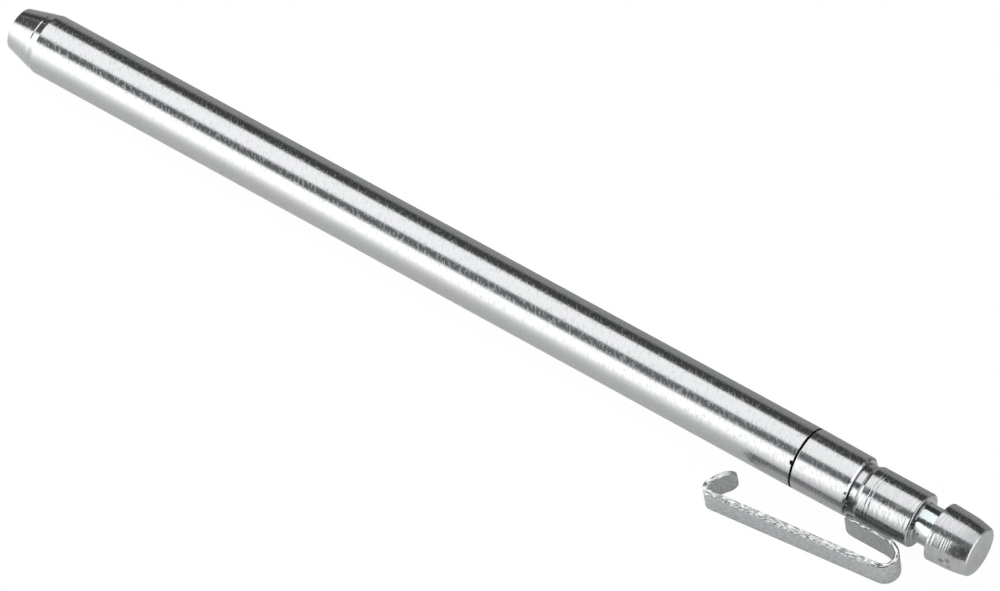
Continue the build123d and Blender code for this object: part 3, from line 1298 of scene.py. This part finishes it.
PANELS = [
    ("top_softbox", (-1.0, -0.176, 1.0), (1.45, 0, 0), (0, 1.2, 0), TOP_FADE),
    ("front_softbox", (-2.2, -1.0, 0.0), (2.02, 0, 0), (0, 0, 1.37), front_fade),
    ("left_softbox", (-2.2, -1.0, 0.0), (0, 1.0, 0), (0, 0, 1.4), 2.5),
    ("high_left_softbox", (-2.6, -1.3, 1.25), (1.45, 0, 0), (0, 1.12, 0), 2.3),
    ("end_softbox", (1.2, -0.8, 0.0), (0, 1.7, 0), (0, 0, 0.9), 2.25),
    ("back_flag", (-2.2, 1.5, 0.16), (4.0, 0, 0), (0, 0, 1.6), 0.085),
    ("back_foot", (-2.2, 1.5, 0.0), (4.0, 0, 0), (0, 0, 0.16), 0.4),
    ("left_flag", (-2.3, -0.12, 0.05), (0, 1.62, 0), (0, 0, 2.1), 0.12),
    ("camera_flag", (-1.1, -0.19, 1.25), (2.9, 0, 0), (0, -0.92, 0.1), CAMERA_FADE, GREENISH),
    ("slant_flag", (-0.83, -0.98, 1.375), (0.37, 0, -0.39), (0, 0, 0.45), 0.17, GREENISH),
    ("right_flag", (-0.18, -1.1, 0.0), (2.2, 0, 0), (0, 0, 1.6), 0.18),
    ("high_right_flag", (0.45, -0.19, 1.0), (0.75, 0, 0), (0, 1.2, 0), 0.08),
    ("back_end_softbox", (1.25, 0.9, 0.12), (0, 0.6, 0), (0, 0, 0.88), 1.7),
]
for item in PANELS:
    panel(*item)
print("panels", len(PANELS))

# %% [markdown]
# ## Floor and room
#
# The floor is white paper. To the camera it is plain white with a trace of the object's shadow,
# but in the narrow gap below the undercut it shows its real shading, as it would be too bright
# between the pin and the clip. The metal sees two thirds of the real shading, so that the paper
# is dark where pin and clip stand close together, and a glow on top of it.

# %% What the camera sees of the paper
CAMERA_SHARE = 0.96
CAMERA_WHITE = 1.01
GAP_STATION = 64.5
GAP_Y = -1.2
GAP_ALONG = (1.2, 1.6)
GAP_ACROSS = (1.0, 1.3)


def undercut_gap(tree, place):
    """One below the undercut, where the paper shows only through a narrow, shaded gap."""
    along = tree.math("ABSOLUTE", tree.math("SUBTRACT", place["X"], GAP_STATION * MM))
    across = tree.math("ABSOLUTE", tree.math("SUBTRACT", place["Y"], GAP_Y * MM))
    return tree.times(tree.fade(along, *GAP_ALONG), tree.fade(across, *GAP_ACROSS))


# %% [markdown]
# The photograph's stripes tell how the glow of the paper runs. It grows with the distance in front
# of the pin and beyond its tip, is weaker beside the stepped end and strong past the head, and ends
# behind the pin, where the paper is also painted darker, a painted shadow that only the metal sees.
# Places are in metres.

# %% What the metal sees of the paper
METAL_SHARE = 0.35
GLOW_Y = -0.01
GLOW_X = -0.06
GLOW_REACH = 0.035
GLOW_BASE = 0.92
GLOW_GAIN = 1.71
GLOW_LOSS = 1.77
STEPPED_END = (0.02, 0.06, 1.0, 0.0)
PAST_HEAD = (0.086, 0.1, 0.0, 2.7)


def floor_glow(tree, place, behind):
    """How strongly the metal sees the paper glow at each place."""
    ahead = tree.math("MAXIMUM", tree.math("SUBTRACT", GLOW_Y, place["Y"]), 0.0)
    beyond = tree.math("MAXIMUM", tree.math("SUBTRACT", GLOW_X, place["X"]), 0.0)
    away = tree.math("ADD", ahead, beyond)
    near = tree.math("EXPONENT", tree.math("DIVIDE", away, -GLOW_REACH))
    rise = tree.math("SUBTRACT", GLOW_GAIN, tree.times(near, GLOW_LOSS))
    rise = tree.times(tree.remap(place["X"], *STEPPED_END), rise)
    front = tree.math("ADD", rise, GLOW_BASE)
    front = tree.math("ADD", front, tree.remap(place["X"], *PAST_HEAD))
    return tree.times(front, tree.math("SUBTRACT", 1.0, behind))


# %% [markdown]
# Both are joined by mix shaders. The first one chooses between the camera's white and the glow,
# and the second lays that over the plain sheet.

# %% Lay the floor
FLOOR_LEVEL = -SHAFT_RADIUS * MM
FLOOR_SIZE = 6
BEHIND_PIN = (0.004, 0.009)
PAPER = (0.93, 0.93, 0.93, 1)
# Painted shadow: the paper's colour behind the pin, for the metal's rays.
PAINTED_SHADOW_PAPER = (0.71, 0.72, 0.72, 1)


def paper():
    """White paper that shows white, keeps shadows, and glows as the studio lights it."""
    material, tree, surface = bare_material("paper")
    path = tree.add("ShaderNodeLightPath").outputs
    place = tree.split(tree.object_place())
    behind = tree.remap(place["Y"], *BEHIND_PIN)
    # Painted shadow behind the pin, for glossy rays only.
    darkening = tree.times(behind, path["Is Glossy Ray"])
    sheet = tree.fill(tree.add("ShaderNodeBsdfDiffuse"), Color=tree.mix(darkening, PAPER, PAINTED_SHADOW_PAPER))
    white = tree.fill(tree.add("ShaderNodeEmission"), Strength=CAMERA_WHITE)
    glowing = tree.fill(tree.add("ShaderNodeEmission"), Strength=floor_glow(tree, place, behind))
    light = tree.row(tree.add("ShaderNodeMixShader"), path["Is Glossy Ray"], white[0], glowing[0])
    plain = tree.math("SUBTRACT", 1.0, undercut_gap(tree, place))
    camera_part = tree.times(path["Is Camera Ray"], tree.times(plain, CAMERA_SHARE))
    metal_part = tree.times(path["Is Glossy Ray"], METAL_SHARE)
    share = tree.math("ADD", camera_part, metal_part)
    mixed = tree.row(tree.add("ShaderNodeMixShader"), share, sheet[0], light[0])
    tree.feed(surface, mixed[0])
    return material


def lay_floor():
    """The sheet of paper that the object lies on."""
    shape = bmesh.new()
    bmesh.ops.create_grid(shape, x_segments=1, y_segments=1, size=FLOOR_SIZE)
    bmesh.ops.translate(shape, verts=shape.verts, vec=(0, 0, FLOOR_LEVEL))
    floor = place_object("studio_floor", shape)
    floor.data.materials.append(paper())
    print("floor at", FLOOR_LEVEL / MM, "mm")


lay_floor()

# %% [markdown]
# The rest of the room is white all round, and the Standard view transform shows it as pure
# white, as in the photograph.

# %% World and view
world = bpy.data.worlds.new("white_room")
world.use_nodes = True
background = world.node_tree.nodes["Background"]
background.inputs["Color"].default_value = WHITE
background.inputs["Strength"].default_value = 1.0
bpy.context.scene.world = world
bpy.context.scene.view_settings.view_transform = "Standard"
print("view", bpy.context.scene.view_settings.view_transform)
